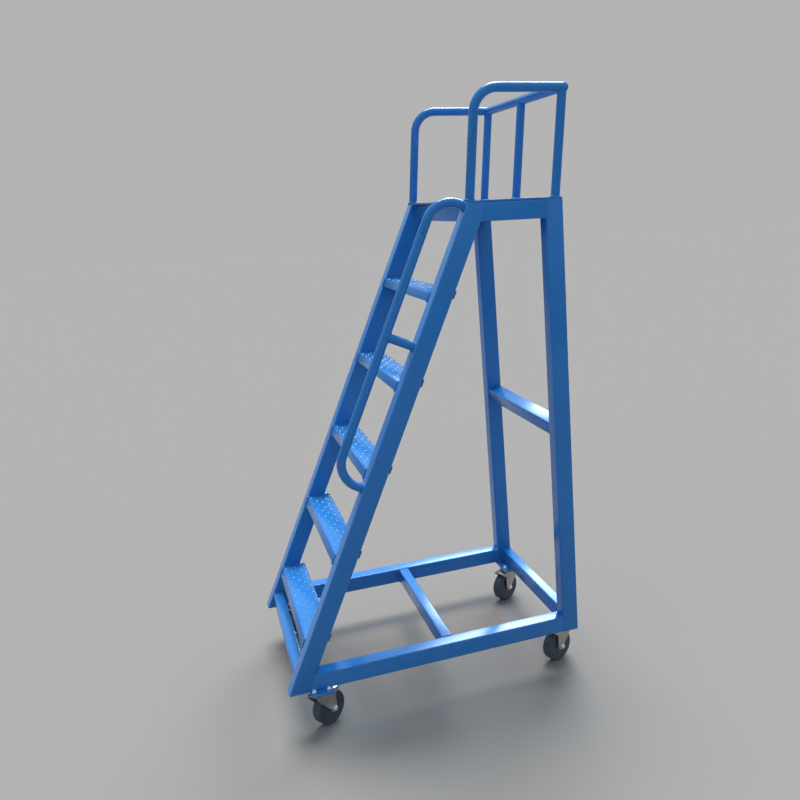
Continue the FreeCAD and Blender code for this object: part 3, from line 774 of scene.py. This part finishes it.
def make_floor():
    bpy.ops.mesh.primitive_plane_add(size=FLOOR_SIZE, location=(0, 0, -FLOOR_DROP))
    floor = bpy.context.active_object
    floor.name = "floor"
    floor.data.materials.append(plain_material("plain_floor", FLOOR, FLOOR_ROUGHNESS))


def make_lamp():
    """A far, broad, soft light from overhead."""
    lamp = bpy.data.lights.new("broad_lamp", "SUN")
    lamp.energy = LAMP_STRENGTH
    lamp.angle = math.radians(LAMP_SPREAD)
    lamp.color = LAMP_COLOUR
    holder = bpy.data.objects.new("broad_lamp", lamp)
    bpy.context.scene.collection.objects.link(holder)
    holder.rotation_mode = "QUATERNION"
    holder.rotation_quaternion = Vector(LAMP_FROM).to_track_quat("Z", "Y")


def make_sky():
    """A soft sky, stronger overhead and brightest at one place far away; the backdrop seen is plain."""
    world = bpy.data.worlds.new("studio")
    bpy.context.scene.world = world
    world.use_nodes = True
    tree = world.node_tree
    backdrop = tree.nodes["Background"]
    backdrop.inputs["Color"].default_value = BACKDROP
    way = node(tree, "ShaderNodeTexCoord").outputs["Generated"]
    height = node(tree, "ShaderNodeSeparateXYZ", [("Vector", way)]).outputs["Z"]
    sky = node(tree, "ShaderNodeMapRange",
               [("Value", height), ("From Min", 0.0), ("From Max", SKY_TOP_HEIGHT),
                ("To Min", SKY_HORIZON), ("To Max", SKY_TOP)], interpolation_type="SMOOTHSTEP")
    toward = node(tree, "ShaderNodeVectorMath", [(0, way), (1, Vector(FAR_GLOW).normalized())],
                  operation="DOT_PRODUCT")
    glow = node(tree, "ShaderNodeMapRange",
                [("Value", toward.outputs["Value"]), ("From Min", GLOW_EDGE), ("From Max", GLOW_CORE),
                 ("To Max", GLOW_STRENGTH)], interpolation_type="SMOOTHSTEP")
    strength = node(tree, "ShaderNodeMath", [(0, sky.outputs["Result"]), (1, glow.outputs["Result"])],
                    operation="ADD")
    light = node(tree, "ShaderNodeBackground", [("Color", SKY_COLOUR),
                                                ("Strength", strength.outputs["Value"])])
    seen = node(tree, "ShaderNodeLightPath").outputs["Is Camera Ray"]
    mix = node(tree, "ShaderNodeMixShader", [("Fac", seen), (1, light.outputs["Background"]),
                                             (2, backdrop.outputs["Background"])])
    tree.links.new(mix.outputs["Shader"], tree.nodes["World Output"].inputs["Surface"])


CAMERA_PLACE = (2.5625, -0.5545, 1.4246)
CAMERA_TURN = (68.56, 16.24, -2.66)     # round from the front, down, and roll, degrees
CAMERA_LENS = 38.87
CAMERA_SENSOR = 36.0
CAMERA_SHIFT = (-0.175, 0.0625)


def make_camera():
    around, down, roll = (math.radians(value) for value in CAMERA_TURN)
    back = Vector((math.sin(around) * math.cos(down), -math.cos(around) * math.cos(down), math.sin(down)))
    right = (-back).cross(Vector((0, 0, 1))).normalized()
    up = right.cross(-back)
    turned_right = right * math.cos(roll) + up * math.sin(roll)
    turned_up = up * math.cos(roll) - right * math.sin(roll)
    lens = bpy.data.cameras.new("main_view")
    lens.lens = CAMERA_LENS
    lens.sensor_width = CAMERA_SENSOR
    lens.shift_x, lens.shift_y = CAMERA_SHIFT
    camera = bpy.data.objects.new("main_view", lens)
    bpy.context.scene.collection.objects.link(camera)
    axes = Matrix((turned_right, turned_up, back)).transposed()
    camera.matrix_world = Matrix.Translation(CAMERA_PLACE) @ axes.to_4x4()
    bpy.context.scene.camera = camera


make_camera()
make_sky()
make_lamp()
make_floor()
make_tube_frame()
for tread_number in range(1, 6):
    make_tread(tread_number)
    tread_welds(tread_number)
make_frame_welds()
make_round_rails()
make_handrail()
make_caster_fixings()
for caster in CORNERS:
    make_caster(caster)

bpy.context.scene.view_settings.view_transform = "Standard"
deselect()
